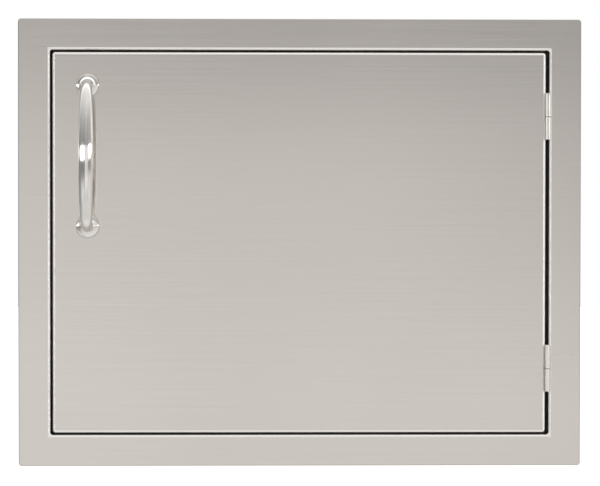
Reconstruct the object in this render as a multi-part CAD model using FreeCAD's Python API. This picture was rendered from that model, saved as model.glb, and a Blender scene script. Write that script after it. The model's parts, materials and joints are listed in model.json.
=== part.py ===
import FreeCAD, Part
import math
import os

V = FreeCAD.Vector

# Stainless access door for a barbecue island: a folded face frame with a sleeve that passes
# through the wall, a flush double-skinned door on two lift-off barrel hinges, a bow handle on
# two rosettes, and two magnetic catches behind the door's latch side.
# The origin is the centre of the opening in the plane of the island's wall. +X is to the right
# seen from in front, +Y runs into the island and +Z is up.

# Face frame, in millimetres
OVERALL_WIDTH = 584.0
OVERALL_HEIGHT = 464.0
SIDE_MARGIN = 33.2
LEVEL_MARGIN = 32.4
FLANGE_DEPTH = 12.7
FRAME_SHEET = 1.5
OUTER_BEVEL = 0.6
LIP_BEND = 2.8
FRAME_CORNER = 3.0
OPENING_CORNER = 2.6
HEM_WIDTH = 10.0
MITRE_SEAM = 0.8

# Door
DOOR_GAP = 2.0
DOOR_THICKNESS = 20.0
DOOR_SHEET = 1.2
DOOR_BEND = 2.8
DOOR_CORNER = 3.0
DOOR_LIP = 12.0
LINER_SHEET = 1.0
LINER_INSET = 1.5
LINER_FLANGE = 14.0
LINER_DISH = 8.0
LINER_SLOPE = 5.0
LINER_CORNER = 12.0
LEAST_CORNER = 1.0
STIFFENER_CROWN = 30.0
STIFFENER_FOOT = 13.0
STIFFENER_SLOPE = 3.5
STIFFENER_SHEET = 1.0
STIFFENER_SPACING = 190.0
STIFFENER_END_GAP = 20.0

# Sleeve, stops and bumpers
SLEEVE_SHEET = 1.2
SLEEVE_DEPTH = 58.0
SLEEVE_FLANGE = 10.0
SLEEVE_LIP = 11.0
SLEEVE_BEND = 1.0
STOP_PROJECTION = 16.8
STOP_LEG = 14.0
STOP_CLEARANCE = 2.5
WALL_HOLE = 5.0
WALL_HOLE_SETBACK = 47.0
WALL_HOLE_PITCH = 300.0
BUMPER_DIAMETER = 9.0
BUMPER_FROM_END = 29.5

# Hinges
UPPER_KNUCKLE = 24.8
LOWER_KNUCKLE = 23.6
HINGE_FROM_END = 66.7
PIN_DIAMETER = 4.0
PIN_CLEARANCE = 0.05
PIN_END_GAP = 1.0
BARREL_WALL = 1.5
BARREL_CLEARANCE = 0.45
BARREL_CAP = 3.0
BARREL_TAPER = 1.1
BARREL_CROWN = 2.4
BARREL_RUNNING = 0.1
LEAF_SHEET = 1.2
LEAF_CLEARANCE = 0.7
LEAF_SETBACK = 2.6

# Bow handle
HANDLE_FROM_EDGE = 36.6
HANDLE_FROM_TOP = 34.5
HANDLE_SPACING = 146.1
HANDLE_PROJECTION = 36.0
FOOT_DIAMETER = 10.6
FOOT_STRAIGHT = 5.0
FOOT_FIT = 0.12
GRIP_WIDTH = 14.6
GRIP_THICKNESS = 9.0
GRIP_SWELL = 1.4
BOW_FULLNESS = 2.35
BOW_STATIONS = 12
TANGENT_STEP = 0.004
ROSETTE_DIAMETER = 24.8
ROSETTE_HEIGHT = 4.4
ROSETTE_FLOOR = 1.6
ROSETTE_RIM_TAPER = 0.9
ROSETTE_FLAT = 2.4
ROSETTE_COLLAR = 0.9
HANDLE_SCREW = 5.0
SCREW_CLEARANCE = 0.2
HANDLE_SCREW_GRIP = 10.0
SCREW_HEAD_HEIGHT = 3.5
SCREW_HEAD_FLATS = 8.0
BACKING_SHEET = 2.0
BACKING_WIDTH = 30.0
BACKING_OVERHANG = 16.0
PLUG_HOLE = 12.4
PLUG_RIM = 1.8
PLUG_CROWN = 1.4

# Magnetic catches and strike plates
CATCH_FROM_END = 85.5
CATCH_LENGTH = 48.0
CATCH_WIDTH = 13.6
CATCH_DEPTH = 15.0
MAGNET_LENGTH = 28.0
MAGNET_WIDTH = 5.0
MAGNET_DEPTH = 10.0
MAGNET_SETBACK = 1.0
POLE_SHEET = 1.5
CONTACT_GAP = 0.3
STRIKE_LENGTH = 46.0
STRIKE_WIDTH = 9.0
STRIKE_SHEET = 1.0

# How far a cutter runs past the face that it cuts
OVERRUN = 1.0

# Places that follow from the sizes
FACE_Y = -FLANGE_DEPTH
WALL_Y = 0.0
OPEN_X = OVERALL_WIDTH / 2 - SIDE_MARGIN
OPEN_Z = OVERALL_HEIGHT / 2 - LEVEL_MARGIN
HINGE_GAP = 2 * LEAF_SHEET + LEAF_CLEARANCE
DOOR_LEFT = -OPEN_X + DOOR_GAP
DOOR_RIGHT = OPEN_X - HINGE_GAP
DOOR_TOP = OPEN_Z - DOOR_GAP
DOOR_BACK = FACE_Y + DOOR_THICKNESS
PAN_BACK = DOOR_BACK - LINER_SHEET
SKIN_BACK = FACE_Y + DOOR_SHEET
FIELD_BACK = DOOR_BACK - LINER_DISH
FIELD_FRONT = FIELD_BACK - LINER_SHEET
STOP_FRONT = DOOR_BACK + STOP_CLEARANCE
STOP_BACK = STOP_FRONT + SLEEVE_SHEET
LIP_BACK = STOP_FRONT - FRAME_SHEET
LIP_OUT_X = OPEN_X + FRAME_SHEET
LIP_OUT_Z = OPEN_Z + FRAME_SHEET
SLEEVE_OUT_Z = LIP_OUT_Z + SLEEVE_SHEET
SLEEVE_FRONT = FACE_Y + FRAME_SHEET
SLEEVE_BACK = FACE_Y + SLEEVE_DEPTH
WALL_HOLE_Y = FACE_Y + WALL_HOLE_SETBACK
STOP_X = OPEN_X - STOP_PROJECTION

# The barrel stands in front of the gap, clear of the bends of the door and of the frame
BARREL_R = PIN_DIAMETER / 2 + PIN_CLEARANCE + BARREL_WALL
WIDEST_BEND = max(DOOR_BEND, LIP_BEND)
BARREL_REACH = BARREL_R + WIDEST_BEND + BARREL_CLEARANCE
BARREL_SIDE = HINGE_GAP / 2 + WIDEST_BEND
HINGE_STANDOUT = math.sqrt(max(BARREL_REACH ** 2 - BARREL_SIDE ** 2, WIDEST_BEND ** 2)) - WIDEST_BEND
HINGE_X = OPEN_X - HINGE_GAP / 2
HINGE_Y = FACE_Y - HINGE_STANDOUT
HINGE_Z = DOOR_TOP - HINGE_FROM_END
LEAF_BACK = DOOR_BACK - LEAF_SETBACK
NOTCH_Y = HINGE_Y + BARREL_R + BARREL_CLEARANCE

HANDLE_X = DOOR_LEFT + HANDLE_FROM_EDGE
HANDLE_TOP_Z = DOOR_TOP - HANDLE_FROM_TOP
HANDLE_LOW_Z = HANDLE_TOP_Z - HANDLE_SPACING
HANDLE_FEET = (HANDLE_TOP_Z, HANDLE_LOW_Z)
SEAT_Y = FACE_Y - ROSETTE_FLOOR
SCREW_HOLE = HANDLE_SCREW + 2 * SCREW_CLEARANCE

CATCH_X = -OPEN_X + STOP_PROJECTION / 2
CATCH_Z = DOOR_TOP - CATCH_FROM_END
BUMPER_Z = DOOR_TOP - BUMPER_FROM_END
STRIKE_X = max(CATCH_X, DOOR_LEFT + LINER_INSET + STRIKE_WIDTH / 2)

LEVELS = {"upper": 1, "lower": -1}


def box(x0, x1, y0, y1, z0, z1):
    """Block between two corners, given in any order."""
    low = V(min(x0, x1), min(y0, y1), min(z0, z1))
    return Part.makeBox(abs(x1 - x0), abs(y1 - y0), abs(z1 - z0), low)


def rounded_outline(corners, radii):
    """Closed wire through the corners, each rounded with its own radius."""
    count = len(corners)
    entries = []
    exits = []
    arcs = {}
    for i, corner in enumerate(corners):
        before = (corners[i - 1] - corner).normalize()
        after = (corners[(i + 1) % count] - corner).normalize()
        turn = math.pi - before.getAngle(after)
        setback = radii[i] * math.tan(turn / 2)
        entries.append(corner + before * setback)
        exits.append(corner + after * setback)
        if radii[i] > 0:
            inward = (before + after).normalize()
            middle = corner + inward * (radii[i] / math.cos(turn / 2) - radii[i])
            arcs[i] = Part.Arc(entries[i], middle, exits[i]).toShape()
    outline = []
    for i in range(count):
        if i in arcs:
            outline.append(arcs[i])
        following = entries[(i + 1) % count]
        if (following - exits[i]).Length > 1e-6:
            outline.append(Part.LineSegment(exits[i], following).toShape())
    return Part.Wire(outline)


def upright_outline(left, right, low, high, y, corner):
    """Rectangle with rounded corners in the upright plane at y."""
    corners = [V(left, y, low), V(right, y, low), V(right, y, high), V(left, y, high)]
    return rounded_outline(corners, [corner] * 4)


def plate(left, right, low, high, front, back, corner):
    """Upright plate with rounded corners, from its front to its back."""
    face = Part.Face(upright_outline(left, right, low, high, front, corner))
    return face.extrude(V(0, back - front, 0))


def centred_plate(half_width, half_height, front, back, corner):
    """Upright plate about the middle of the opening."""
    return plate(-half_width, half_width, -half_height, half_height, front, back, corner)


def edges_at(shape, y):
    """Edges of the shape that lie wholly in the plane at y."""
    found = []
    for edge in shape.Edges:
        bounds = edge.BoundBox
        if abs(bounds.YMin - y) < 1e-4 and abs(bounds.YMax - y) < 1e-4:
            found.append(edge)
    return found


def folded_strip(path, sheet, inside_radius):
    """Section of a folded sheet: the path is its right-hand side, the sheet lies to the left."""
    outside_radius = inside_radius + sheet if inside_radius > 0 else 0
    normals = []
    for start, end in zip(path, path[1:]):
        along = (end - start).normalize()
        normals.append(V(-along.y, along.x, 0))
    right_radii = []
    left_radii = []
    left_side = []
    for i in range(1, len(path) - 1):
        before = normals[i - 1]
        after = normals[i]
        left_side.append(path[i] + (before + after) * (sheet / (1 + before.dot(after))))
        turns_left = before.cross(after).z > 0
        right_radii.append(outside_radius if turns_left else inside_radius)
        left_radii.append(inside_radius if turns_left else outside_radius)
    left_ends = (path[0] + normals[0] * sheet, path[-1] + normals[-1] * sheet)
    corners = path + [left_ends[1]] + left_side[::-1] + [left_ends[0]]
    radii = [0] + right_radii + [0, 0] + left_radii[::-1] + [0]
    return Part.Face(rounded_outline(corners, radii))


def turned(profile, point, direction):
    """Solid of revolution: the profile gives (radius, distance along the direction) corners."""
    corners = [V(radius, 0, along) for radius, along in profile]
    face = Part.Face(Part.makePolygon(corners + corners[:1]))
    return placed(face.revolve(V(0, 0, 0), V(0, 0, 1), 360), point, direction)


def placed(shape, point, direction):
    """The shape made about +Z, moved to the point and turned to the direction."""
    shape.Placement = FreeCAD.Placement(point, FreeCAD.Rotation(V(0, 0, 1), direction))
    return shape


def hole(point, direction, diameter, depth):
    """Cutter for a plain round hole."""
    return Part.makeCylinder(diameter / 2, depth, point, direction)


def mitre_seams(half_width, half_height, centre_x, back, sheet, lip):
    """Cutters for the open seams where a ring of inward lips meets at its four corners."""
    cutters = []
    for side_x in (-1, 1):
        for side_z in (-1, 1):
            inner = V(centre_x + side_x * (half_width - lip), 0, side_z * (half_height - lip))
            seam = box(-MITRE_SEAM, lip * math.sqrt(2), back - sheet, back + OVERRUN,
                       -MITRE_SEAM / 2, MITRE_SEAM / 2)
            angle = math.degrees(math.atan2(side_z, side_x))
            seam.Placement = FreeCAD.Placement(inner, FreeCAD.Rotation(V(0, -1, 0), angle))
            cutters.append(seam)
    return cutters


def face_frame():
    """Folded ring: bevelled face, outer return with a hem on the wall, and a deep lip at the opening."""
    half_width = OVERALL_WIDTH / 2
    half_height = OVERALL_HEIGHT / 2
    outside = centred_plate(half_width, half_height, FACE_Y, WALL_Y, FRAME_CORNER)
    outside = outside.makeChamfer(OUTER_BEVEL, edges_at(outside, FACE_Y))
    inner_corner = max(FRAME_CORNER - FRAME_SHEET, FRAME_SHEET / 2)
    hollow = centred_plate(half_width - FRAME_SHEET, half_height - FRAME_SHEET,
                           FACE_Y + FRAME_SHEET, WALL_Y - FRAME_SHEET, inner_corner)
    behind = centred_plate(half_width - HEM_WIDTH, half_height - HEM_WIDTH,
                           FACE_Y + FRAME_SHEET, WALL_Y + OVERRUN, 0)
    seams = mitre_seams(half_width, half_height, 0, WALL_Y, FRAME_SHEET, HEM_WIDTH)
    aperture = centred_plate(OPEN_X, OPEN_Z, FACE_Y - OVERRUN, LIP_BACK + OVERRUN, OPENING_CORNER)
    ring = outside.cut([hollow, behind] + seams)
    lip = centred_plate(LIP_OUT_X, LIP_OUT_Z, FACE_Y + FRAME_SHEET / 2, LIP_BACK,
                        OPENING_CORNER + FRAME_SHEET)
    ring = ring.fuse(lip).cut(aperture).removeSplitter()
    return ring.makeFillet(LIP_BEND, aperture_rim(ring))


def aperture_rim(ring):
    """Edges of the opening on the frame's face."""
    rim = []
    for edge in edges_at(ring, FACE_Y):
        bounds = edge.BoundBox
        reach_x = max(abs(bounds.XMin), abs(bounds.XMax))
        reach_z = max(abs(bounds.ZMin), abs(bounds.ZMax))
        if reach_x < OPEN_X + 0.01 and reach_z < OPEN_Z + 0.01:
            rim.append(edge)
    return rim


def sleeve_section(half_opening):
    """Section of a sleeve wall at the negative side: weld flange, wall and rear lip."""
    wall = -half_opening - FRAME_SHEET
    back = SLEEVE_BACK - SLEEVE_SHEET
    path = [V(wall - SLEEVE_SHEET - SLEEVE_FLANGE, SLEEVE_FRONT, 0), V(wall, SLEEVE_FRONT, 0),
            V(wall, back, 0), V(wall - SLEEVE_SHEET + SLEEVE_LIP, back, 0)]
    return folded_strip(path, SLEEVE_SHEET, SLEEVE_BEND)


def jamb_side(side):
    """Sleeve wall at the left or right of the opening, with two holes for fixing screws."""
    strip = sleeve_section(OPEN_X).extrude(V(0, 0, 2 * SLEEVE_OUT_Z))
    strip.translate(V(0, 0, -SLEEVE_OUT_Z))
    if side > 0:
        strip = strip.mirror(V(0, 0, 0), V(1, 0, 0))
    depth = SLEEVE_OUT_Z - OPEN_Z + OVERRUN
    holes = [hole(V(side * OPEN_X, WALL_HOLE_Y, end * WALL_HOLE_PITCH / 2), V(side, 0, 0), WALL_HOLE, depth)
             for end in (-1, 1)]
    return strip.cut(holes)


def jamb_level(side):
    """Sleeve wall above or below the opening, fitted between the two side walls."""
    strip = sleeve_section(OPEN_Z).extrude(V(0, 0, 2 * LIP_OUT_X))
    strip.translate(V(0, 0, -LIP_OUT_X))
    strip.rotate(V(0, 0, 0), V(0, 1, 0), side * 90)
    cutters = []
    for end in (-1, 1):
        lip_end = end * (LIP_OUT_X + SLEEVE_SHEET - SLEEVE_LIP)
        cutters.append(box(lip_end, end * (LIP_OUT_X + OVERRUN), SLEEVE_BACK - SLEEVE_SHEET - SLEEVE_BEND,
                           SLEEVE_BACK + OVERRUN, 0, side * (SLEEVE_OUT_Z + OVERRUN)))
    return strip.cut(cutters)


def stop_section():
    """Angle section of a door stop: its front leg runs to +X, its long leg lies on the sleeve."""
    path = [V(0, STOP_LEG, 0), V(0, 0, 0), V(STOP_PROJECTION + FRAME_SHEET, 0, 0)]
    return folded_strip(path, SLEEVE_SHEET, SLEEVE_BEND)


def stop_side(side):
    """Door stop at the left or right; the left one has windows for the catches' poles."""
    strip = stop_section().extrude(V(0, 0, 2 * LIP_OUT_Z))
    strip.translate(V(-LIP_OUT_X, STOP_FRONT, -LIP_OUT_Z))
    if side > 0:
        return strip.mirror(V(0, 0, 0), V(1, 0, 0))
    half_width = MAGNET_WIDTH / 2 + POLE_SHEET + CONTACT_GAP
    half_length = MAGNET_LENGTH / 2 + CONTACT_GAP
    windows = []
    for level in LEVELS.values():
        centre = level * CATCH_Z
        windows.append(box(CATCH_X - half_width, CATCH_X + half_width, STOP_FRONT - OVERRUN,
                           STOP_BACK + OVERRUN, centre - half_length, centre + half_length))
    return strip.cut(windows)


def stop_level(side):
    """Door stop above or below, between the front legs of the side stops."""
    strip = stop_section().extrude(V(0, 0, 2 * STOP_X))
    strip.translate(V(-LIP_OUT_Z, STOP_FRONT, -STOP_X))
    strip.rotate(V(0, 0, 0), V(0, 1, 0), side * 90)
    return strip


def stop_bumpers():
    """Two soft bumpers on the left stop that the closed door rests on."""
    radius = BUMPER_DIAMETER / 2
    height = STOP_CLEARANCE - CONTACT_GAP
    profile = [(0, 0), (radius, 0), (radius - height / 2, height), (0, height)]
    centres = [V(CATCH_X, STOP_FRONT, level * BUMPER_Z) for level in LEVELS.values()]
    return Part.makeCompound([turned(profile, centre, V(0, -1, 0)) for centre in centres])


def door_outer_panel():
    """Folded pan: face, four sides and lips that turn in behind."""
    outside = plate(DOOR_LEFT, DOOR_RIGHT, -DOOR_TOP, DOOR_TOP, FACE_Y, PAN_BACK, DOOR_CORNER)
    outside = outside.makeFillet(DOOR_BEND, edges_at(outside, FACE_Y))
    inner_corner = max(DOOR_CORNER - DOOR_SHEET, DOOR_SHEET / 2)
    hollow = plate(DOOR_LEFT + DOOR_SHEET, DOOR_RIGHT - DOOR_SHEET, DOOR_SHEET - DOOR_TOP,
                   DOOR_TOP - DOOR_SHEET, SKIN_BACK, PAN_BACK - DOOR_SHEET, inner_corner)
    inner_bevel = (DOOR_BEND - DOOR_SHEET) * (2 - math.sqrt(2))
    if inner_bevel > 0:
        hollow = hollow.makeChamfer(inner_bevel, edges_at(hollow, SKIN_BACK))
    mouth = plate(DOOR_LEFT + DOOR_LIP, DOOR_RIGHT - DOOR_LIP, DOOR_LIP - DOOR_TOP, DOOR_TOP - DOOR_LIP,
                  SKIN_BACK, PAN_BACK + OVERRUN, 0)
    seams = mitre_seams((DOOR_RIGHT - DOOR_LEFT) / 2, DOOR_TOP, (DOOR_LEFT + DOOR_RIGHT) / 2,
                        PAN_BACK, DOOR_SHEET, DOOR_LIP)
    holes = [hole(V(HANDLE_X, FACE_Y, z), V(0, 1, 0), SCREW_HOLE, DOOR_SHEET) for z in HANDLE_FEET]
    return outside.cut([hollow, mouth] + seams + holes)


def dish(grow, front, back):
    """Tapered block of the liner's dish, wider by `grow` on every side, from front to back."""
    left = DOOR_LEFT + LINER_INSET + LINER_FLANGE - grow
    right = DOOR_RIGHT - LINER_INSET - LINER_FLANGE + grow
    top = DOOR_TOP - LINER_INSET - LINER_FLANGE + grow
    slope = LINER_SLOPE * (back - front) / LINER_DISH
    wide = upright_outline(left, right, -top, top, back, LINER_CORNER + grow)
    narrow = upright_outline(left + slope, right - slope, slope - top, top - slope, front,
                             max(LINER_CORNER + grow - slope, LEAST_CORNER))
    return Part.makeLoft([narrow, wide], True, True)


def door_liner():
    """Pressed inner panel: a flange on the pan's lips round a dished field."""
    flange = plate(DOOR_LEFT + LINER_INSET, DOOR_RIGHT - LINER_INSET, LINER_INSET - DOOR_TOP,
                   DOOR_TOP - LINER_INSET, PAN_BACK, DOOR_BACK, DOOR_CORNER)
    tray = dish(LINER_SHEET, FIELD_FRONT, PAN_BACK)
    hollow = dish(0, FIELD_BACK, DOOR_BACK)
    holes = [hole(V(HANDLE_X, FIELD_FRONT, z), V(0, 1, 0), PLUG_HOLE, LINER_SHEET) for z in HANDLE_FEET]
    return flange.fuse(tray).removeSplitter().cut([hollow] + holes)


def stiffener(side):
    """Upright hat section spot-welded to the back of the door's face."""
    crown = STIFFENER_CROWN / 2
    base = crown + STIFFENER_SLOPE
    foot = base + STIFFENER_FOOT
    top = FIELD_FRONT - CONTACT_GAP - STIFFENER_SHEET
    path = [V(-foot, SKIN_BACK, 0), V(-base, SKIN_BACK, 0), V(-crown, top, 0),
            V(crown, top, 0), V(base, SKIN_BACK, 0), V(foot, SKIN_BACK, 0)]
    length = 2 * (DOOR_TOP - LINER_FLANGE - STIFFENER_END_GAP)
    strip = folded_strip(path, STIFFENER_SHEET, 0).extrude(V(0, 0, length))
    middle = (DOOR_LEFT + DOOR_RIGHT + HANDLE_FROM_EDGE) / 2
    strip.translate(V(middle + side * STIFFENER_SPACING / 2, 0, -length / 2))
    return strip


def leaf_blank(near, own_low, own_high, low, high):
    """Flat of one hinge leaf: full height behind the notch, and a neck to its own barrel."""
    flat = box(near, near + LEAF_SHEET, NOTCH_Y, LEAF_BACK, low, high)
    return flat.fuse(box(near, near + LEAF_SHEET, HINGE_Y, NOTCH_Y, own_low, own_high))


def door_hinge_leaf(level):
    """Upper, lift-off half of a hinge, welded to the door's side; its barrel is closed on top."""
    centre = level * HINGE_Z
    low = centre + BARREL_RUNNING
    high = centre + UPPER_KNUCKLE
    profile = [(0, low), (BARREL_R, low), (BARREL_R, high - BARREL_CROWN),
               (BARREL_R - BARREL_TAPER, high), (0, high)]
    barrel = turned(profile, V(HINGE_X, HINGE_Y, 0), V(0, 0, 1))
    blank = leaf_blank(DOOR_RIGHT, low, high - BARREL_CROWN, centre - LOWER_KNUCKLE, high)
    bore = hole(V(HINGE_X, HINGE_Y, low), V(0, 0, 1), PIN_DIAMETER + 2 * PIN_CLEARANCE,
                UPPER_KNUCKLE - BARREL_RUNNING - BARREL_CAP)
    return blank.fuse(barrel).removeSplitter().cut(bore)


def frame_hinge_leaf(level):
    """Lower half of a hinge, welded to the frame's lip; the pin is pressed into its barrel."""
    centre = level * HINGE_Z
    low = centre - LOWER_KNUCKLE
    barrel = Part.makeCylinder(BARREL_R, LOWER_KNUCKLE, V(HINGE_X, HINGE_Y, low))
    blank = leaf_blank(OPEN_X - LEAF_SHEET, low, centre, low, centre + UPPER_KNUCKLE)
    bore = hole(V(HINGE_X, HINGE_Y, low), V(0, 0, 1), PIN_DIAMETER, LOWER_KNUCKLE)
    return blank.fuse(barrel).removeSplitter().cut(bore)


def hinge_pin(level):
    """Pin pressed into the lower barrel, standing up into the door's barrel."""
    low = level * HINGE_Z - LOWER_KNUCKLE
    length = LOWER_KNUCKLE + UPPER_KNUCKLE - BARREL_CAP - PIN_END_GAP
    return Part.makeCylinder(PIN_DIAMETER / 2, length, V(HINGE_X, HINGE_Y, low))


def bow_point(angle):
    """Point on the bow's centre line, from the lower foot at angle 0 to the upper one at pi."""
    foot_y = SEAT_Y - FOOT_STRAIGHT
    crest_y = FACE_Y - HANDLE_PROJECTION + GRIP_THICKNESS / 2
    power = 2 / BOW_FULLNESS
    cosine = math.cos(angle)
    across = math.copysign(abs(cosine) ** power, cosine) * HANDLE_SPACING / 2
    outward = abs(math.sin(angle)) ** power
    return V(HANDLE_X, foot_y + (crest_y - foot_y) * outward, (HANDLE_TOP_Z + HANDLE_LOW_Z) / 2 - across)


def bow_section(point, along, swell):
    """Ellipse across the bow: round where the swell is 0, wide and flat where it is 1."""
    round_half = FOOT_DIAMETER / 2
    half_width = round_half + (GRIP_WIDTH / 2 - round_half) * swell
    half_thickness = round_half + (GRIP_THICKNESS / 2 - round_half) * swell
    ring = Part.Ellipse(V(0, 0, 0), half_width, min(half_thickness, half_width)).toShape()
    across = V(1, 0, 0)
    ring.Placement = FreeCAD.Placement(point, FreeCAD.Rotation(across, along.cross(across), along, "ZXY"))
    return Part.Wire([ring])


def handle_grip():
    """Bow handle: one lofted bar, round at the feet and swelling to a wide flat middle."""
    sections = [bow_section(V(HANDLE_X, SEAT_Y, HANDLE_LOW_Z), V(0, -1, 0), 0)]
    for i in range(BOW_STATIONS + 1):
        angle = math.pi * i / BOW_STATIONS
        along = bow_point(min(angle + TANGENT_STEP, math.pi)) - bow_point(max(angle - TANGENT_STEP, 0))
        sections.append(bow_section(bow_point(angle), along.normalize(), math.sin(angle) ** GRIP_SWELL))
    sections.append(bow_section(V(HANDLE_X, SEAT_Y, HANDLE_TOP_Z), V(0, 1, 0), 0))
    bow = Part.makeLoft(sections, True, True)
    bores = [hole(V(HANDLE_X, SEAT_Y, z), V(0, -1, 0), HANDLE_SCREW, HANDLE_SCREW_GRIP) for z in HANDLE_FEET]
    return bow.cut(bores)


def handle_rosettes():
    """Two turned rosettes: a steep rim, a flat ring and a slope up to a collar round each foot."""
    outer = ROSETTE_DIAMETER / 2
    rim = outer - ROSETTE_RIM_TAPER
    socket = FOOT_DIAMETER / 2 + FOOT_FIT
    bore = SCREW_HOLE / 2
    profile = [(bore, 0), (outer, 0), (rim, ROSETTE_FLOOR), (rim - ROSETTE_FLAT, ROSETTE_FLOOR),
               (socket + ROSETTE_COLLAR, ROSETTE_HEIGHT), (socket, ROSETTE_HEIGHT),
               (socket, ROSETTE_FLOOR), (bore, ROSETTE_FLOOR)]
    return Part.makeCompound([turned(profile, V(HANDLE_X, FACE_Y, z), V(0, -1, 0)) for z in HANDLE_FEET])


def handle_backing_plate():
    """Plate behind the door's face that spreads the handle's load."""
    half = BACKING_WIDTH / 2
    low = HANDLE_LOW_Z - BACKING_OVERHANG
    high = min(HANDLE_TOP_Z + BACKING_OVERHANG, DOOR_TOP - DOOR_SHEET)
    slab = box(HANDLE_X - half, HANDLE_X + half, SKIN_BACK, SKIN_BACK + BACKING_SHEET, low, high)
    return slab.cut([hole(V(HANDLE_X, SKIN_BACK, z), V(0, 1, 0), SCREW_HOLE, BACKING_SHEET)
                     for z in HANDLE_FEET])


def handle_screws():
    """Two hexagon screws from inside the door into the feet of the bow."""
    screws = []
    radius = SCREW_HEAD_FLATS / math.sqrt(3)
    start_y = SKIN_BACK + BACKING_SHEET
    length = start_y - SEAT_Y + HANDLE_SCREW_GRIP
    for z in HANDLE_FEET:
        corners = [V(HANDLE_X + radius * math.cos(math.radians(60 * i)), start_y,
                     z + radius * math.sin(math.radians(60 * i))) for i in range(6)]
        head = Part.Face(Part.makePolygon(corners + corners[:1])).extrude(V(0, SCREW_HEAD_HEIGHT, 0))
        shank = Part.makeCylinder(HANDLE_SCREW / 2, length, V(HANDLE_X, start_y, z), V(0, -1, 0))
        screws.append(head.fuse(shank))
    return Part.makeCompound(screws)


def liner_plugs():
    """Two snap-in caps over the liner's holes to the handle screws."""
    stem = PLUG_HOLE / 2
    rim = stem + PLUG_RIM
    profile = [(0, -PLUG_CROWN), (rim, -PLUG_CROWN), (rim, 0), (stem, 0), (stem, LINER_SHEET),
               (0, LINER_SHEET)]
    return Part.makeCompound([turned(profile, V(HANDLE_X, FIELD_BACK, z), V(0, -1, 0)) for z in HANDLE_FEET])


def catch_housing(level):
    """Moulded housing snapped behind the left stop, open in front for the magnet and poles."""
    centre = level * CATCH_Z
    body = box(CATCH_X - CATCH_WIDTH / 2, CATCH_X + CATCH_WIDTH / 2, STOP_BACK, STOP_BACK + CATCH_DEPTH,
               centre - CATCH_LENGTH / 2, centre + CATCH_LENGTH / 2)
    half_width = MAGNET_WIDTH / 2 + POLE_SHEET
    half_length = MAGNET_LENGTH / 2
    pocket = box(CATCH_X - half_width, CATCH_X + half_width, STOP_BACK,
                 STOP_BACK + MAGNET_SETBACK + MAGNET_DEPTH, centre - half_length, centre + half_length)
    return body.cut(pocket)


def catch_magnet(level):
    """Ferrite bar between the two pole plates."""
    centre = level * CATCH_Z
    front = STOP_BACK + MAGNET_SETBACK
    return box(CATCH_X - MAGNET_WIDTH / 2, CATCH_X + MAGNET_WIDTH / 2, front, front + MAGNET_DEPTH,
               centre - MAGNET_LENGTH / 2, centre + MAGNET_LENGTH / 2)


def catch_poles(level):
    """Two steel pole plates that stand out through the stop towards the strike plate."""
    centre = level * CATCH_Z
    front = DOOR_BACK + STRIKE_SHEET + CONTACT_GAP
    back = STOP_BACK + MAGNET_SETBACK + MAGNET_DEPTH
    bars = []
    for side in (-1, 1):
        near = CATCH_X + side * MAGNET_WIDTH / 2
        bars.append(box(near, near + side * POLE_SHEET, front, back,
                        centre - MAGNET_LENGTH / 2, centre + MAGNET_LENGTH / 2))
    return Part.makeCompound(bars)


def strike_plate(level):
    """Steel plate welded to the back of the door that the catch pulls on."""
    centre = level * CATCH_Z
    return box(STRIKE_X - STRIKE_WIDTH / 2, STRIKE_X + STRIKE_WIDTH / 2, DOOR_BACK, DOOR_BACK + STRIKE_SHEET,
               centre - STRIKE_LENGTH / 2, centre + STRIKE_LENGTH / 2)


pieces = {
    "face_frame": face_frame(),
    "jamb_left": jamb_side(-1),
    "jamb_right": jamb_side(1),
    "jamb_top": jamb_level(1),
    "jamb_bottom": jamb_level(-1),
    "stop_left": stop_side(-1),
    "stop_right": stop_side(1),
    "stop_top": stop_level(1),
    "stop_bottom": stop_level(-1),
    "stop_bumpers": stop_bumpers(),
    "door_outer_panel": door_outer_panel(),
    "door_liner": door_liner(),
    "door_stiffener_left": stiffener(-1),
    "door_stiffener_right": stiffener(1),
    "liner_plugs": liner_plugs(),
    "handle_grip": handle_grip(),
    "handle_rosettes": handle_rosettes(),
    "handle_backing_plate": handle_backing_plate(),
    "handle_screws": handle_screws(),
}
for name, level in LEVELS.items():
    pieces["frame_hinge_leaf_" + name] = frame_hinge_leaf(level)
    pieces["hinge_pin_" + name] = hinge_pin(level)
    pieces["door_hinge_leaf_" + name] = door_hinge_leaf(level)
    pieces["catch_housing_" + name] = catch_housing(level)
    pieces["catch_magnet_" + name] = catch_magnet(level)
    pieces["catch_poles_" + name] = catch_poles(level)
    pieces["strike_plate_" + name] = strike_plate(level)

os.makedirs("parts", exist_ok=True)
for name, shape in pieces.items():
    shape.exportStep("parts/" + name + ".step")
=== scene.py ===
import bpy
import bmesh
import json
import math
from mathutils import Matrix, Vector


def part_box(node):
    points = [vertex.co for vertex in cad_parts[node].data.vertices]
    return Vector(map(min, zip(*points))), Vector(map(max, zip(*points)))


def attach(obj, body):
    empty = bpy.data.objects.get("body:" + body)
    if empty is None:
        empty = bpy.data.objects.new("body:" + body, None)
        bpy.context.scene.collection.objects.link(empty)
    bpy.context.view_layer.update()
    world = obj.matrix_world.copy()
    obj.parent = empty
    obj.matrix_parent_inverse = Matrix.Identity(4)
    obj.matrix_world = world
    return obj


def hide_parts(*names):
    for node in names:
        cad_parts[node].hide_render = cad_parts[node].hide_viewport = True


# Looks of a stainless access door for a barbecue island, in metres, in the part's own frame:
# X to the right, Y into the island, Z up, the origin in the middle of the opening.

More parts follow.
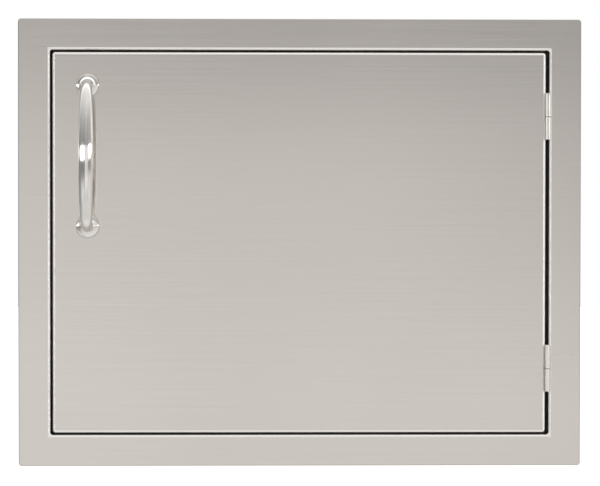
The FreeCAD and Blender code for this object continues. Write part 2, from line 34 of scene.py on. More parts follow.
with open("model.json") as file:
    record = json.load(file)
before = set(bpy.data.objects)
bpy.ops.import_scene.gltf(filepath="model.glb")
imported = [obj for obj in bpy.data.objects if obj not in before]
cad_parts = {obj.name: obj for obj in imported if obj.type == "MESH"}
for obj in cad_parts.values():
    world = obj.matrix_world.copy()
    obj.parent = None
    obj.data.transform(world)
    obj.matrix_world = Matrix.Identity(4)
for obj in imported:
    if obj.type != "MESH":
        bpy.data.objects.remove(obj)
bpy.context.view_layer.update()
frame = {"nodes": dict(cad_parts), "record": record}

# Camera: turn in degrees, lens in millimetres
CAMERA_PLACE = (-0.0549, -2.600, 0.0561)
CAMERA_TURN = (88.7526, -0.057, -1.2126)
CAMERA_LENS = 149.58
CAMERA_REACH = 50.0

# Floor: it glows a little, so that it reads as white. Metal mirrors the room in its place.
FLOOR_LEVEL = -0.40
FLOOR_SIZE = 14.0
FLOOR_COLOUR = (0.9, 0.9, 0.9)
FLOOR_ROUGHNESS = 0.9
FLOOR_GLOW = 0.45

# Colours: of the metals' bare reflection, of the other materials, and of the light
STEEL = (0.640, 0.612, 0.583)
# Painted highlight: the lighter colour given to the door's and the frame's bends
BEND_HIGHLIGHT_STEEL = (0.90, 0.88, 0.86)
POLISHED_STEEL = (0.750, 0.732, 0.712)
DULL_STEEL = (0.500, 0.480, 0.460)
ZINC = (0.60, 0.62, 0.64)
# Black paint on the stop strips, dark enough to stand in for the painted shade deep in the door's gap as well
GAP_SHADE_PAINT = (0.05, 0.05, 0.05)
RUBBER = (0.03, 0.03, 0.03)
BLACK_PLASTIC = (0.025, 0.025, 0.027)
GREY_PLASTIC = (0.30, 0.30, 0.30)
FERRITE = (0.05, 0.05, 0.055)
LAMP_COLOUR = (1.0, 0.985, 0.965)
WHITE = (1.0, 1.0, 1.0)
BLACK = (0.0, 0.0, 0.0)

# The steel that is seen: how rough it is, and how far its grain draws highlights out
SEEN_ROUGHNESS = 0.145
SEEN_ANISOTROPY = 0.93

# Bow handle: a round bar that swells from its feet to a wide flat middle
GRIP_LOW, GRIP_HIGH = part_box("handle_grip")
GRIP_WIDENING = 1.05
GRIP_HALF_WIDTH = (GRIP_HIGH.x - GRIP_LOW.x) / 2 * GRIP_WIDENING
GRIP_HALF_THICKNESS = 0.0045
GRIP_SWELL = 1.4
BOW_FULLNESS = 2.35
FOOT_RADIUS = 0.0053
FOOT_STRAIGHT = 0.005

# Rosettes, from their edge inward: rim, dome, cone and crown. Slopes are in degrees.
ROSETTE_LOW, ROSETTE_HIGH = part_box("handle_rosettes")
ROSETTE_RADIUS = (ROSETTE_HIGH.x - ROSETTE_LOW.x) / 2
RIM_SLOPE = 66.0
RIM_HEIGHT = 0.0015
RIM_ROUND = 0.0009
DOME_SLOPE = 14.0
CONE_FOOT_RADIUS = 0.00885
CONE_FILLET = 0.0008
CONE_SLOPE = 42.0
CONE_TOP_RADIUS = 0.0067
CROWN_ROUND = 0.0016
SOCKET_RADIUS = 0.0055
DOOR_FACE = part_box("door_outer_panel")[0].y

# Hinges: barrels round the pins' axes, and the leaves behind them. An edge of more than SHARP_ANGLE
# degrees is shaded sharp.
BARREL_RADIUS = 0.00355
BARREL_CHAMFER = 0.00028
BARREL_RUNNING = 0.0001
LOWER_KNUCKLE = 0.0236
CAP_INWARD = 0.0018
CAP_CROWN = 0.0024
LEAF_SHEET = 0.0012
LEAF_NOTCH = 0.00045
LEAF_EDGE = 0.0002
NECK_INSET = 0.0003
NECK_UNDER_CAP = 0.003
SHARP_ANGLE = 35.0

# Shares of a barrel's chamfer: flat end inside it, its rounded middle, and the start of the straight side
CHAMFER_FLAT = 3.0
CHAMFER_MIDDLE = 0.3
CHAMFER_SIDE = 1.5

# Fineness of the round meshes
GRIP_STATIONS = 96
GRIP_SIDES = 48
ROSETTE_SIDES = 72
BARREL_SIDES = 64
ARC_STEPS = 4
CONE_STEPS = 3
CAP_STEPS = 6

# Bends with a painted highlight: how far from the edge it fades out, and half the frame's opening
BEND_FADE = (0.00238, 0.00308)
BEND_HIGHLIGHT_ROUGHNESS = 0.09
OPENING_HALF = (0.2588, 0.1996)

# Painted shade along the frame's outer edge and in the hinges' joints, and a painted dark reflection line
# down the upper barrel: their tone, and how far from the line they fade out. The joint's level is the same
# above and below the middle, and the reflection line's place goes by the left side of the pin.
OUTER_EDGE_SHADE_TONE = 0.55
OUTER_EDGE_SHADE_FADE = (0.0006, 0.0008)
JOINT_SHADE_TONE = 0.4
JOINT_SHADE_FADE = (0.0003, 0.0005)
JOINT_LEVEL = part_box("hinge_pin_upper")[0].z + LOWER_KNUCKLE
REFLECTION_LINE_TONE = 0.08
REFLECTION_LINE_FADE = (0.00018, 0.00034)
REFLECTION_LINE_ASIDE = 0.0019
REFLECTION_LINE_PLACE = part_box("hinge_pin_upper")[0].x + REFLECTION_LINE_ASIDE

# Where most of a noise node's values lie
NOISE_RANGE = (0.3, 0.7)

# Light: a level is the brightness that a mirror would show, 1 being white, and LEVEL_FULL is the most
# that its stops go to. The diffuser's levels go by height. Toward its left and right a tilt scales
# them, from nothing to all of it over its reach, and they fall off at the diffuser's ends.
LEVEL_FULL = 2.0
DIFFUSER_PLACE = -2.50
DIFFUSER_SIDES = (-0.74, 0.80)
DIFFUSER_STOPS = [(-1.24, 0.85), (-0.82, 0.84), (-0.50, 0.98), (-0.30, 1.02), (-0.13, 0.86), (0.00, 0.80),
                  (0.055, 1.00), (0.245, 1.00), (0.26, 0.41), (0.37, 0.45), (0.60, 0.52), (0.86, 0.60),
                  (1.25, 0.85)]
DIFFUSER_EDGES = [(-0.74, 0.35), (-0.62, 0.35), (-0.60, 1.0), (0.70, 1.0), (0.72, 0.35), (0.80, 0.35)]
LEFT_TILT = [(-1.24, 1.06), (-0.30, 1.06), (-0.05, 1.05), (0.06, 1.00), (0.25, 1.04), (0.40, 1.18),
             (1.25, 1.20)]
LEFT_TILT_REACH = (-0.15, -0.53)
RIGHT_TILT = [(-1.24, 0.97), (-0.40, 1.01), (-0.15, 0.96), (0.0, 0.90), (0.10, 0.80), (0.25, 0.86),
              (0.40, 1.00), (1.25, 1.00)]
RIGHT_TILT_REACH = (0.20, 0.62)

# The room's levels go by the sine of the elevation, in four sectors. Neighbouring sectors run into
# each other over a reach of the sine of the direction, which is -1 at the left and 1 at the right.
FAR_LEFT_STOPS = [(-1.0, 0.85), (-0.80, 0.85), (-0.60, 0.72), (-0.40, 0.52), (-0.20, 0.38), (-0.05, 0.30),
                  (0.10, 0.36), (0.30, 0.60), (0.50, 0.85), (0.80, 1.05), (0.94, 1.20), (1.0, 1.50)]
LEFT_STOPS = [(-1.0, 0.85), (-0.94, 1.00), (-0.80, 0.80), (-0.42, 0.84), (-0.26, 0.90), (-0.17, 0.70),
              (-0.12, 0.45), (-0.06, 0.30), (-0.01, 0.30), (0.07, 0.36), (0.15, 0.42), (0.30, 0.58),
              (0.50, 0.80), (0.80, 1.00), (0.96, 1.20), (1.0, 1.50)]
RIGHT_STOPS = [(-1.0, 0.85), (-0.94, 1.00), (-0.80, 0.80), (-0.42, 0.85), (-0.26, 0.90), (-0.12, 0.85),
               (-0.08, 0.70), (-0.05, 0.40), (-0.01, 0.34), (0.07, 0.34), (0.12, 0.50), (0.30, 0.62),
               (0.40, 0.75), (0.55, 0.95), (0.80, 1.05), (0.96, 1.20), (1.0, 1.5)]
FAR_RIGHT_STOPS = [(-1.0, 0.85), (-0.94, 0.90), (-0.50, 0.80), (-0.20, 0.75), (0.0, 0.75), (0.12, 0.85),
                   (0.40, 0.85), (0.55, 1.00), (0.80, 1.10), (0.94, 1.25), (1.0, 1.50)]
FAR_LEFT_REACH = (-0.93, -0.75)
MIDDLE_REACH = (-0.3, 0.3)
FAR_RIGHT_REACH = (0.80, 0.92)

# Bright band at eye level. By the sine of the elevation: its middle, half of its height and its climb
# from left to right. Then the power that rounds its ends, how it fades at its outline, and its levels
# by the sine of the direction.
BAND_MIDDLE = 0.030
BAND_HALF = 0.0295
BAND_CLIMB = 0.0085
BAND_ROUNDING = 6.0
BAND_FADE = (0.85, 1.15)
BAND_STOPS = [(-1.0, 0.55), (-0.93, 0.55), (-0.90, 4.0), (0.91, 4.0), (0.94, 0.1), (1.0, 0.1)]
BAND_FULL = 4.0

# Overhead arc from the left over the top to the right, turned a little about Z: by depth and by height
ARC_TURN = 0.066
ARC_DEPTH = [(-1.0, 0.0), (-0.110, 0.0), (-0.099, 1.0), (-0.004, 1.0), (0.004, 0.0), (1.0, 0.0)]
ARC_HEIGHT = [(-1.0, 0.0), (0.05, 0.0), (0.12, 0.9), (1.0, 0.9)]


def shade(colour, factor=1.0):
    """The colour made lighter or darker, with full alpha."""
    return tuple(min(channel * factor, 1.0) for channel in colour) + (1.0,)


class Graph:
    """A node tree, with short ways to add nodes and to join them."""

    def __init__(self, tree, coordinates):
        self.tree = tree
        tree.nodes.clear()
        self.place = self.add("TexCoord").outputs[coordinates]
        split = self.add("SeparateXYZ")
        self.join(self.place, split.inputs["Vector"])
        self.x, self.y, self.z = split.outputs

    def add(self, kind):
        """A new shader node of a kind, such as Math."""
        return self.tree.nodes.new("ShaderNode" + kind)

    def join(self, source, target):
        self.tree.links.new(source, target)

    def feed(self, socket, value):
        """Links an output to the socket, or writes a plain value on it."""
        if isinstance(value, bpy.types.NodeSocket):
            self.join(value, socket)
        else:
            socket.default_value = value

    def math(self, operation, first, second=0.0):
        node = self.add("Math")
        node.operation = operation
        self.feed(node.inputs[0], first)
        self.feed(node.inputs[1], second)
        return node.outputs["Value"]

    def total(self, first, second):
        return self.math("ADD", first, second)

    def product(self, first, second):
        return self.math("MULTIPLY", first, second)

    def distance(self, value, middle=0.0):
        """How far the value lies from the middle, on either side."""
        return self.math("ABSOLUTE", self.math("SUBTRACT", value, middle))

    def mix(self, kind, factor, first, second):
        """Mix node. Its sockets share their names, so the two inputs and the output go by number."""
        first_input, second_input, output = {"FLOAT": (2, 3, 0), "RGBA": (6, 7, 2)}[kind]
        node = self.add("Mix")
        node.data_type = kind
        self.feed(node.inputs[0], factor)
        self.feed(node.inputs[first_input], first)
        self.feed(node.inputs[second_input], second)
        return node.outputs[output]

    def between(self, factor, first, second):
        """Number between two numbers."""
        return self.mix("FLOAT", factor, first, second)

    def blend(self, factor, first, second):
        """Colour between two colours."""
        return self.mix("RGBA", factor, first, second)

    def scaled(self, colour, factor):
        node = self.add("VectorMath")
        node.operation = "SCALE"
        self.join(colour, node.inputs[0])
        self.feed(node.inputs["Scale"], factor)
        return node.outputs["Vector"]

    def spread(self, value, low, high, source=NOISE_RANGE):
        """The source range of the value moved to low..high, and held at its ends."""
        node = self.add("MapRange")
        node.inputs["From Min"].default_value = source[0]
        node.inputs["From Max"].default_value = source[1]
        node.inputs["To Min"].default_value = low
        node.inputs["To Max"].default_value = high
        self.join(value, node.inputs["Value"])
        return node.outputs["Result"]

    def swing(self, noise, middle, reach):
        """Noise moved to a reach on each side of a middle."""
        return self.spread(noise, middle - reach, middle + reach)

    def ramp(self, value, stops, full=1.0):
        """Level looked up among (value, level) stops, levels up to full."""
        first, last = stops[0][0], stops[-1][0]
        node = self.add("ValToRGB")
        elements = node.color_ramp.elements
        while len(elements) < len(stops):
            elements.new(0.5)
        for element, (place, level) in zip(elements, stops):
            element.position = (place - first) / (last - first)
            element.color = shade(WHITE, level / full)
        self.join(self.spread(value, 0.0, 1.0, (first, last)), node.inputs["Fac"])
        return self.product(node.outputs["Color"], full)

    def noise(self, cells, detail=2.0, roughness=0.5):
        """Noise with its own number of cells to the metre along X, Y and Z."""
        mapping = self.add("Mapping")
        mapping.inputs["Scale"].default_value = cells
        self.join(self.place, mapping.inputs["Vector"])
        node = self.add("TexNoise")
        node.inputs["Scale"].default_value = 1.0
        node.inputs["Detail"].default_value = detail
        node.inputs["Roughness"].default_value = roughness
        self.join(mapping.outputs["Vector"], node.inputs["Vector"])
        return node.outputs["Fac"]

    def mottled(self, noise, colour, darker, lighter, source=NOISE_RANGE):
        """The colour between a darker and a lighter shade of itself."""
        return self.blend(self.spread(noise, 0.0, 1.0, source), shade(colour, darker), shade(colour, lighter))

    def inset(self, half_width, half_height, middle=0.0):
        """Distance inward from the sides of an upright rectangle, seen from the front."""
        return self.math("MINIMUM", self.math("SUBTRACT", half_width, self.distance(self.x, middle)),
                         self.math("SUBTRACT", half_height, self.distance(self.z)))


class Finish(Graph):
    """The node tree of a material, round one principled shader."""

    def __init__(self, name):
        self.material = bpy.data.materials.new(name)
        self.material.use_nodes = True
        super().__init__(self.material.node_tree, "Object")
        output = self.add("OutputMaterial")
        self.shader = self.add("BsdfPrincipled")
        self.join(self.shader.outputs["BSDF"], output.inputs["Surface"])

    def give(self, socket, value):
        """Feeds one of the shader's sockets."""
        self.feed(self.shader.inputs[socket], value)

    def bump(self, height, distance):
        node = self.add("Bump")
        node.inputs["Distance"].default_value = distance
        self.join(height, node.inputs["Height"])
        self.give("Normal", node.outputs["Normal"])

    def tangent(self, direction):
        """Direction across the grain, along which a highlight is drawn out."""
        node = self.add("CombineXYZ")
        for socket, value in zip(node.inputs, direction):
            socket.default_value = value
        self.give("Tangent", node.outputs["Vector"])


def door_edges(finish, base):
    """Colour and extra roughness, with a highlight painted on the door's bends."""
    low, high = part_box("door_outer_panel")
    inset = finish.inset((high.x - low.x) / 2, (high.z - low.z) / 2, (low.x + high.x) / 2)
    # Painted highlight on the bends, near the door's edge
    bend_highlight = finish.spread(inset, 1.0, 0.0, BEND_FADE)
    return finish.blend(bend_highlight, base, shade(BEND_HIGHLIGHT_STEEL)), finish.product(bend_highlight, BEND_HIGHLIGHT_ROUGHNESS)


def frame_edges(finish, base):
    """The same painted highlight on the frame's lip, which lies outside the opening, with painted shade along
    the outer edge.
    """
    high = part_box("face_frame")[1]
    # Painted highlight on the bends of the frame's lip
    bend_highlight = finish.spread(finish.inset(*OPENING_HALF), 0.0, 1.0, (-BEND_FADE[1], -BEND_FADE[0]))
    # Painted shade: the frame's colour darkened along its outer edge
    outer_edge_shade = finish.spread(finish.inset(high.x, high.z), OUTER_EDGE_SHADE_TONE, 1.0, OUTER_EDGE_SHADE_FADE)
    colour = finish.scaled(finish.blend(bend_highlight, base, shade(BEND_HIGHLIGHT_STEEL)), outer_edge_shade)
    return colour, finish.product(bend_highlight, BEND_HIGHLIGHT_ROUGHNESS)


def hinge_edges(finish, base):
    """Colour with painted shade in the barrels' joints, and a painted dark reflection line down the upper
    barrel.
    """
    from_joint = finish.distance(finish.distance(finish.z), JOINT_LEVEL)
    # Painted reflection: a dark line down the front of the upper barrel
    from_reflection_line = finish.distance(finish.x, REFLECTION_LINE_PLACE)
    # Painted shade in the joint between the knuckles
    joint_shade = finish.spread(from_joint, JOINT_SHADE_TONE, 1.0, JOINT_SHADE_FADE)
    reflection_line = finish.spread(from_reflection_line, REFLECTION_LINE_TONE, 1.0, REFLECTION_LINE_FADE)
    upper = finish.math("GREATER_THAN", finish.z, 0.0)
    return finish.scaled(base, finish.product(joint_shade, finish.between(upper, 1.0, reflection_line))), 0.0


def brushed(name, colour, roughness, grain, anisotropy=0.6, edges=None):
    """Brushed sheet: fine scratches along the grain, in tone, gloss and height, over a wide faint cloud.

    edges is a function that adds a painted highlight on bends, or dark lines of painted shade and painted
    reflection, to the colour and the roughness.
    """
    fine, long = 3200.0, 14.0
    coarser = 0.22
    scratch_share = 0.6
    scratch_tone = 0.03
    scratch_gloss = 0.02
    scratch_height = 0.000004
    streak_range = (0.35, 0.65)
    cloud_cells = 7.0
    cloud_gloss = 0.008
    finish = Finish(name)
    cells = {"X": (long, fine, fine), "Y": (fine, long, fine), "Z": (fine, fine, long)}[grain]
    scratches = finish.noise(cells, detail=3.0, roughness=0.6)
    bands = finish.noise([number * coarser for number in cells])
    cloud = finish.noise((cloud_cells,) * 3)
    streaks = finish.total(finish.product(scratches, scratch_share), finish.product(bands, 1 - scratch_share))
    base = finish.mottled(streaks, colour, 1 - scratch_tone, 1 + scratch_tone, streak_range)
    gloss = finish.total(finish.swing(streaks, roughness, scratch_gloss),
                         finish.swing(cloud, 0.0, cloud_gloss))
    if edges:
        base, extra = edges(finish, base)
        gloss = finish.total(gloss, extra)
    finish.give("Base Color", base)
    finish.give("Roughness", gloss)
    finish.give("Metallic", 1.0)
    finish.give("Anisotropic", anisotropy)
    finish.tangent({"X": (0, 0, 1), "Y": (0, 0, 1), "Z": (1, 0, 0)}[grain])
    finish.bump(streaks, scratch_height)
    return finish.material


def polished(name, colour, roughness):
    """Buffed metal: a faint haze and hairline wipe marks."""
    haze_cells = (60.0, 60.0, 25.0)
    haze_tone = 0.02
    haze_gloss = 0.015
    wipe_cells = (900.0, 900.0, 60.0)
    wipe_gloss = 0.01
    wipe_height = 0.0000015
    finish = Finish(name)
    haze = finish.noise(haze_cells, detail=3.0)
    wipes = finish.noise(wipe_cells)
    gloss = finish.total(finish.swing(haze, roughness, haze_gloss), finish.swing(wipes, 0.0, wipe_gloss))
    finish.give("Base Color", finish.mottled(haze, colour, 1 - haze_tone, 1 + haze_tone))
    finish.give("Roughness", gloss)
    finish.give("Metallic", 1.0)
    finish.bump(wipes, wipe_height)
    return finish.material


def plated(name, colour, roughness):
    """Zinc plating: slight crystal flecks."""
    fleck_cells = 700.0
    fleck_gloss = 0.06
    fleck_height = 0.00001
    darker, lighter = 0.9, 1.08
    finish = Finish(name)
    flecks = finish.noise((fleck_cells,) * 3, detail=3.0, roughness=0.6)
    finish.give("Base Color", finish.mottled(flecks, colour, darker, lighter))
    finish.give("Roughness", finish.swing(flecks, roughness, fleck_gloss))
    finish.give("Metallic", 1.0)
    finish.bump(flecks, fleck_height)
    return finish.material


def moulded(name, colour, roughness, grain_height=0.00003):
    """Plastic, rubber, paint or sintered ferrite: a fine grain and a little dust."""
    grain_cells = 1800.0
    grain_gloss = 0.08
    dust_cells = 90.0
    darker, lighter = 0.85, 1.2
    finish = Finish(name)
    grain = finish.noise((grain_cells,) * 3, detail=4.0, roughness=0.6)
    dust = finish.noise((dust_cells,) * 3, detail=3.0)
    finish.give("Base Color", finish.mottled(dust, colour, darker, lighter))
    finish.give("Roughness", finish.swing(grain, roughness, grain_gloss))
    finish.bump(grain, grain_height)
    return finish.material


# Finish of each slot of the part's record
LOOKS = {
    "brushed_frame": brushed("frame_steel", STEEL, SEEN_ROUGHNESS, "X", SEEN_ANISOTROPY, frame_edges),
    "brushed_door": brushed("door_steel", STEEL, SEEN_ROUGHNESS, "X", SEEN_ANISOTROPY, door_edges),
    "hinge_steel": brushed("hinge_steel", POLISHED_STEEL, 0.168, "X", SEEN_ANISOTROPY, hinge_edges),
    "pin_steel": brushed("pin_steel", POLISHED_STEEL, 0.18, "Z", anisotropy=0.3),
    "liner_steel": brushed("liner_steel", DULL_STEEL, 0.34, "X"),
    "sleeve_steel": brushed("sleeve_steel", DULL_STEEL, 0.36, "Y"),
    "stiffener_steel": brushed("stiffener_steel", DULL_STEEL, 0.4, "Z"),
    "polished_handle": polished("handle_steel", POLISHED_STEEL, 0.05),
    "polished_rosette": polished("rosette_steel", POLISHED_STEEL, 0.07),
    "plated_steel": plated("zinc_plating", ZINC, 0.34),
    # Stop strips: black paint that also stands in for painted shade in the gap
    "stop_steel": moulded("black_paint_and_gap_shade", GAP_SHADE_PAINT, 0.5, grain_height=0.00002),
    "bumper_rubber": moulded("rubber", RUBBER, 0.8),
    "catch_plastic": moulded("black_plastic", BLACK_PLASTIC, 0.5),
    "plug_plastic": moulded("grey_plastic", GREY_PLASTIC, 0.45),
    "ferrite": moulded("ferrite", FERRITE, 0.7, grain_height=0.00008),
}


def dress_nodes():
    """Gives every CAD node the finish of its slot."""
    slots = {entry["node"]: entry["material_slot"] for entry in frame["record"]["subparts"]}
    for name, node in frame["nodes"].items():
        node.data.materials.clear()
        node.data.materials.append(LOOKS[slots[name]])


def new_object(name, data):
    """Adds an object to the scene."""
    thing = bpy.data.objects.new(name, data)
    bpy.context.scene.collection.objects.link(thing)
    return thing


def new_piece(name, bm, slot, body, node):
    """Mesh object from a bmesh, smooth shaded, riding on a body in place of a CAD node."""
    mesh = bpy.data.meshes.new(name)
    bmesh.ops.recalc_face_normals(bm, faces=bm.faces)
    bm.to_mesh(mesh)
    bm.free()
    mesh.shade_smooth()
    mesh.materials.append(LOOKS[slot])
    piece = new_object(name, mesh)
    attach(piece, body)
    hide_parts(node)
    return piece


def rings_round(bm, profile, count, place):
    """A ring of vertices for each corner (radius, height) of a profile, put in place by a function."""
    turns = [2 * math.pi * i / count for i in range(count)]
    return [[bm.verts.new(place(radius * math.cos(turn), radius * math.sin(turn), height)) for turn in turns]
            for radius, height in profile]


def bridge_rings(bm, rings):
    """Quads between neighbouring rings of vertices."""
    for first, second in zip(rings, rings[1:]):
        for i in range(len(first)):
            j = (i + 1) % len(first)
            bm.faces.new((first[i], first[j], second[j], second[i]))


def solid_through(bm, rings):
    """Closed solid through rings of vertices, with a face over each end."""
    bridge_rings(bm, rings)
    bm.faces.new(rings[0])
    bm.faces.new(rings[-1])


def bow_point(angle):
    """Point of the handle's centre line, from the lower foot at 0 to the upper one at pi."""
    low = GRIP_LOW.z + FOOT_RADIUS
    high = GRIP_HIGH.z - FOOT_RADIUS
    foot_y = GRIP_HIGH.y - FOOT_STRAIGHT
    crest_y = GRIP_LOW.y + GRIP_HALF_THICKNESS
    power = 2 / BOW_FULLNESS
    across = math.copysign(abs(math.cos(angle)) ** power, math.cos(angle)) * (high - low) / 2
    outward = math.sin(angle) ** power
    middle_x = (GRIP_LOW.x + GRIP_HIGH.x) / 2
    return Vector((middle_x, foot_y + (crest_y - foot_y) * outward, (high + low) / 2 - across))


def grip_ring(bm, point, along, swell):
    """Section of the bow: a circle at the feet, a wide ellipse in the middle."""
    half_width = FOOT_RADIUS + (GRIP_HALF_WIDTH - FOOT_RADIUS) * swell
    half_thickness = FOOT_RADIUS + (GRIP_HALF_THICKNESS - FOOT_RADIUS) * swell
    side = Vector((1, 0, 0)) * half_width
    out = along.cross(side).normalized() * half_thickness
    turns = [2 * math.pi * i / GRIP_SIDES for i in range(GRIP_SIDES)]
    return [bm.verts.new(point + side * math.cos(turn) + out * math.sin(turn)) for turn in turns]


def make_grip():
    """Bow of the handle, with a short straight foot at each end.

    Each section stands square to the line between the points a small angle before and after it.
    """
    small = 0.002
    bm = bmesh.new()
    foot = Vector((0, FOOT_STRAIGHT, 0))
    rings = [grip_ring(bm, bow_point(0) + foot, Vector((0, -1, 0)), 0)]
    for i in range(GRIP_STATIONS + 1):
        angle = math.pi * i / GRIP_STATIONS
        along = bow_point(min(angle + small, math.pi)) - bow_point(max(angle - small, 0))
        rings.append(grip_ring(bm, bow_point(angle), along.normalized(), math.sin(angle) ** GRIP_SWELL))
    rings.append(grip_ring(bm, bow_point(math.pi) + foot, Vector((0, 1, 0)), 0))
    solid_through(bm, rings)
    new_piece("bow_grip", bm, "polished_handle", "door", "handle_grip")


def round_on(profile, radius, start, end):
    """Carries a profile (radius, height) on with an arc between two slopes, in degrees."""
    along, height = profile[-1]
    curved = math.copysign(radius, end - start)
    first = math.radians(start)
    for i in range(1, ARC_STEPS + 1):
        slope = math.radians(start + (end - start) * i / ARC_STEPS)
        profile.append((along - curved * (math.sin(slope) - math.sin(first)),
                        height + curved * (math.cos(first) - math.cos(slope))))


def rosette_profile():
    """Outline (radius, height) of a rosette, from the socket's foot out to the rim and in over the crown."""
    profile = [(SOCKET_RADIUS, 0.0), (ROSETTE_RADIUS, 0.0)]
    profile.append((ROSETTE_RADIUS - RIM_HEIGHT / math.tan(math.radians(RIM_SLOPE)), RIM_HEIGHT))
    round_on(profile, RIM_ROUND, RIM_SLOPE, DOME_SLOPE)
    dome_radius = (profile[-1][0] - CONE_FOOT_RADIUS) / math.sin(math.radians(DOME_SLOPE))
    round_on(profile, dome_radius, DOME_SLOPE, 0.0)
    round_on(profile, CONE_FILLET, 0.0, CONE_SLOPE)
    along, height = profile[-1]
    for i in range(1, CONE_STEPS + 1):
        inward = (along - CONE_TOP_RADIUS) * i / CONE_STEPS
        profile.append((along - inward, height + inward * math.tan(math.radians(CONE_SLOPE))))
    round_on(profile, CROWN_ROUND, CONE_SLOPE, 0.0)
    return profile


def make_rosettes():
    """Both rosettes, turned round the feet's axes. Their sockets are open."""
    bm = bmesh.new()
    middle_x = (ROSETTE_LOW.x + ROSETTE_HIGH.x) / 2
    profile = rosette_profile()
    for middle_z in (ROSETTE_LOW.z + ROSETTE_RADIUS, ROSETTE_HIGH.z - ROSETTE_RADIUS):
        rings = rings_round(bm, profile, ROSETTE_SIDES, lambda across, upward, height: (
            middle_x + across, DOOR_FACE - height, middle_z + upward))
        bridge_rings(bm, rings + rings[:1])
    new_piece("rosettes", bm, "polished_rosette", "door", "handle_rosettes")


def barrel_profile(low, high, capped):
    """Outline (radius, height) of a barrel half: chamfered ends, and a domed cap where it is closed."""
    wide, chamfer = BARREL_RADIUS, BARREL_CHAMFER
    end = [(wide - chamfer * CHAMFER_FLAT, 0.0), (wide - chamfer, 0.0),
           (wide - chamfer * CHAMFER_MIDDLE, chamfer * CHAMFER_MIDDLE), (wide, chamfer),
           (wide, chamfer * CHAMFER_SIDE)]
    profile = [(radius, low + rise) for radius, rise in end]
    if not capped:
        return profile + [(radius, high - rise) for radius, rise in reversed(end)]
    profile.append((wide, high - (CAP_CROWN + chamfer)))
    for i in range(CAP_STEPS + 1):
        turn = math.pi / 2 * i / CAP_STEPS
        profile.append((wide - CAP_INWARD * (1 - math.cos(turn)), high - CAP_CROWN * (1 - math.sin(turn))))
    return profile


def leaf_plate(bm, outline, near):
    """Leaf's sheet from an X level on, cut to an outline of (Y, Z) corners, with broken edges."""
    solid_through(bm, [[bm.verts.new((x, y, z)) for y, z in outline] for x in (near, near + LEAF_SHEET)])
    bmesh.ops.bevel(bm, geom=bm.edges[:], offset=LEAF_EDGE, segments=2, affect="EDGES", clamp_overlap=True)


def make_hinge_leaf(kind, place):
    """One hinge half, of the door or the frame: its barrel, and the leaf behind the whole knuckle."""
    node = kind + "_hinge_leaf_" + place
    low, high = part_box(node)
    pin_low, pin_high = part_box("hinge_pin_" + place)
    axis_x, axis_y = (pin_low.x + pin_high.x) / 2, (pin_low.y + pin_high.y) / 2
    split = low.z + LOWER_KNUCKLE
    notch = axis_y + BARREL_RADIUS + LEAF_NOTCH
    if kind == "door":
        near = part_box("door_outer_panel")[1].x
        barrel_low, barrel_high = split + BARREL_RUNNING, high.z
        neck_high = barrel_high - NECK_UNDER_CAP
    else:
        near = OPENING_HALF[0] - LEAF_SHEET
        barrel_low, barrel_high = low.z, split
        neck_high = barrel_high - NECK_INSET
    neck_low = barrel_low + NECK_INSET
    outline = [(notch, low.z), (high.y, low.z), (high.y, high.z), (notch, high.z),
               (notch, neck_high), (axis_y, neck_high), (axis_y, neck_low), (notch, neck_low)]
    bm = bmesh.new()
    leaf_plate(bm, outline, near)
    profile = barrel_profile(barrel_low, barrel_high, kind == "door")
    solid_through(bm, rings_round(bm, profile, BARREL_SIDES, lambda across, inward, height: (
        axis_x + across, axis_y + inward, height)))
    piece = new_piece("hinge_" + kind + "_" + place, bm, "hinge_steel", kind, node)
    piece.data.set_sharp_from_angle(angle=math.radians(SHARP_ANGLE))


def make_camera():
    data = bpy.data.cameras.new("camera")
    data.lens = CAMERA_LENS
    data.clip_end = CAMERA_REACH
    camera = new_object("camera", data)
    camera.location = CAMERA_PLACE
    camera.rotation_euler = [math.radians(degrees) for degrees in CAMERA_TURN]
    bpy.context.scene.camera = camera


def rectangle(left, right, low, high):
    """Corners of a rectangle, anticlockwise from its lower left."""
    return [(left, low), (right, low), (right, high), (left, high)]


def new_sheet(name, corners, material):
    """Flat four-cornered object."""
    mesh = bpy.data.meshes.new(name)
    mesh.from_pydata(corners, [], [(0, 1, 2, 3)])
    mesh.materials.append(material)
    return new_object(name, mesh)


def make_floor():
    """Pale floor that reads as white background and keeps the shadow."""
    half = FLOOR_SIZE / 2
    finish = Finish("floor_white")
    path = finish.add("LightPath")
    seen = finish.math("MAXIMUM", path.outputs["Is Camera Ray"], path.outputs["Is Glossy Ray"])
    finish.give("Base Color", shade(FLOOR_COLOUR))
    finish.give("Roughness", FLOOR_ROUGHNESS)
    finish.give("Emission Color", shade(WHITE))
    finish.give("Emission Strength", finish.product(seen, FLOOR_GLOW))
    corners = [(x, y, FLOOR_LEVEL) for x, y in rectangle(-half, half, -half, half)]
    floor = new_sheet("floor", corners, finish.material)
    floor.visible_glossy = False


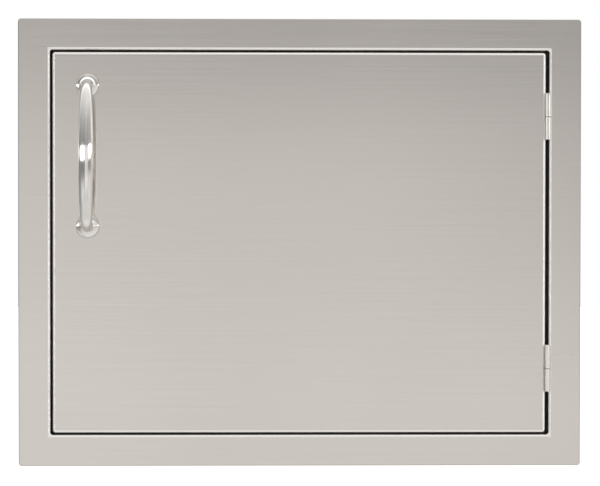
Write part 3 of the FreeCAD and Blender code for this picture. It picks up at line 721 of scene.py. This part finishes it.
def make_diffuser():
    """Graded diffuser in front, that the flat faces mirror. The camera doesn't see it."""
    finish = Finish("diffuser_light")
    upward = finish.ramp(finish.z, DIFFUSER_STOPS, LEVEL_FULL)
    left = finish.between(finish.spread(finish.x, 0.0, 1.0, LEFT_TILT_REACH), 1.0,
                          finish.ramp(finish.z, LEFT_TILT, LEVEL_FULL))
    right = finish.between(finish.spread(finish.x, 0.0, 1.0, RIGHT_TILT_REACH), 1.0,
                           finish.ramp(finish.z, RIGHT_TILT, LEVEL_FULL))
    sideways = finish.product(finish.product(left, right), finish.ramp(finish.x, DIFFUSER_EDGES))
    finish.give("Base Color", shade(BLACK))
    finish.give("Specular IOR Level", 0.0)
    finish.give("Emission Color", shade(LAMP_COLOUR))
    finish.give("Emission Strength", finish.product(upward, sideways))
    low, high = DIFFUSER_STOPS[0][0], DIFFUSER_STOPS[-1][0]
    corners = [(x, DIFFUSER_PLACE, z) for x, z in rectangle(*DIFFUSER_SIDES, low, high)]
    diffuser = new_sheet("diffuser", corners, finish.material)
    diffuser.visible_camera = False
    diffuser.visible_shadow = False
    diffuser.visible_diffuse = False


def room_level(graph, turn):
    """Level of the plain room: its four sectors, run into each other."""
    far_left, left, right, far_right = [
        graph.ramp(graph.z, stops, LEVEL_FULL)
        for stops in (FAR_LEFT_STOPS, LEFT_STOPS, RIGHT_STOPS, FAR_RIGHT_STOPS)]
    left = graph.between(graph.spread(turn, 1.0, 0.0, FAR_LEFT_REACH), left, far_left)
    right = graph.between(graph.spread(turn, 0.0, 1.0, FAR_RIGHT_REACH), right, far_right)
    return graph.between(graph.spread(turn, 0.0, 1.0, MIDDLE_REACH), left, right)


def band_level(graph, turn):
    """Level that the bright band adds, inside an outline with rounded ends."""
    middle = graph.total(graph.product(turn, BAND_CLIMB), BAND_MIDDLE)
    away = graph.math("DIVIDE", graph.math("SUBTRACT", graph.z, middle), BAND_HALF)
    ends = graph.math("POWER", graph.distance(turn), BAND_ROUNDING)
    outline = graph.spread(graph.total(graph.product(away, away), ends), 1.0, 0.0, BAND_FADE)
    return graph.product(outline, graph.ramp(turn, BAND_STOPS, BAND_FULL))


def arc_level(graph):
    """Level that the overhead arc adds."""
    depth = graph.total(graph.y, graph.product(graph.x, ARC_TURN))
    return graph.product(graph.ramp(depth, ARC_DEPTH), graph.ramp(graph.z, ARC_HEIGHT, LEVEL_FULL))


def background(graph, colour, strength):
    node = graph.add("Background")
    graph.feed(node.inputs["Color"], shade(colour))
    graph.feed(node.inputs["Strength"], strength)
    return node.outputs["Background"]


def make_world():
    """Studio room round the part. The camera sees plain white instead.

    The sine of the direction is X over the level part of the view, which smallest keeps off zero.
    """
    smallest = 0.001
    world = bpy.data.worlds.new("studio")
    world.use_nodes = True
    bpy.context.scene.world = world
    graph = Graph(world.node_tree, "Generated")
    level_part = graph.math("SQRT", graph.math("SUBTRACT", 1.0, graph.product(graph.z, graph.z)))
    turn = graph.math("DIVIDE", graph.x, graph.math("MAXIMUM", level_part, smallest))
    level = graph.total(graph.total(room_level(graph, turn), band_level(graph, turn)), arc_level(graph))
    path = graph.add("LightPath")
    choice = graph.add("MixShader")
    graph.feed(choice.inputs["Fac"], path.outputs["Is Camera Ray"])
    graph.feed(choice.inputs[1], background(graph, LAMP_COLOUR, level))
    graph.feed(choice.inputs[2], background(graph, WHITE, 1.0))
    graph.join(choice.outputs["Shader"], graph.add("OutputWorld").inputs["Surface"])


dress_nodes()
make_grip()
make_rosettes()
for place in ("upper", "lower"):
    make_hinge_leaf("door", place)
    make_hinge_leaf("frame", place)
make_camera()
make_floor()
make_diffuser()
make_world()
bpy.context.scene.view_settings.view_transform = "Standard"
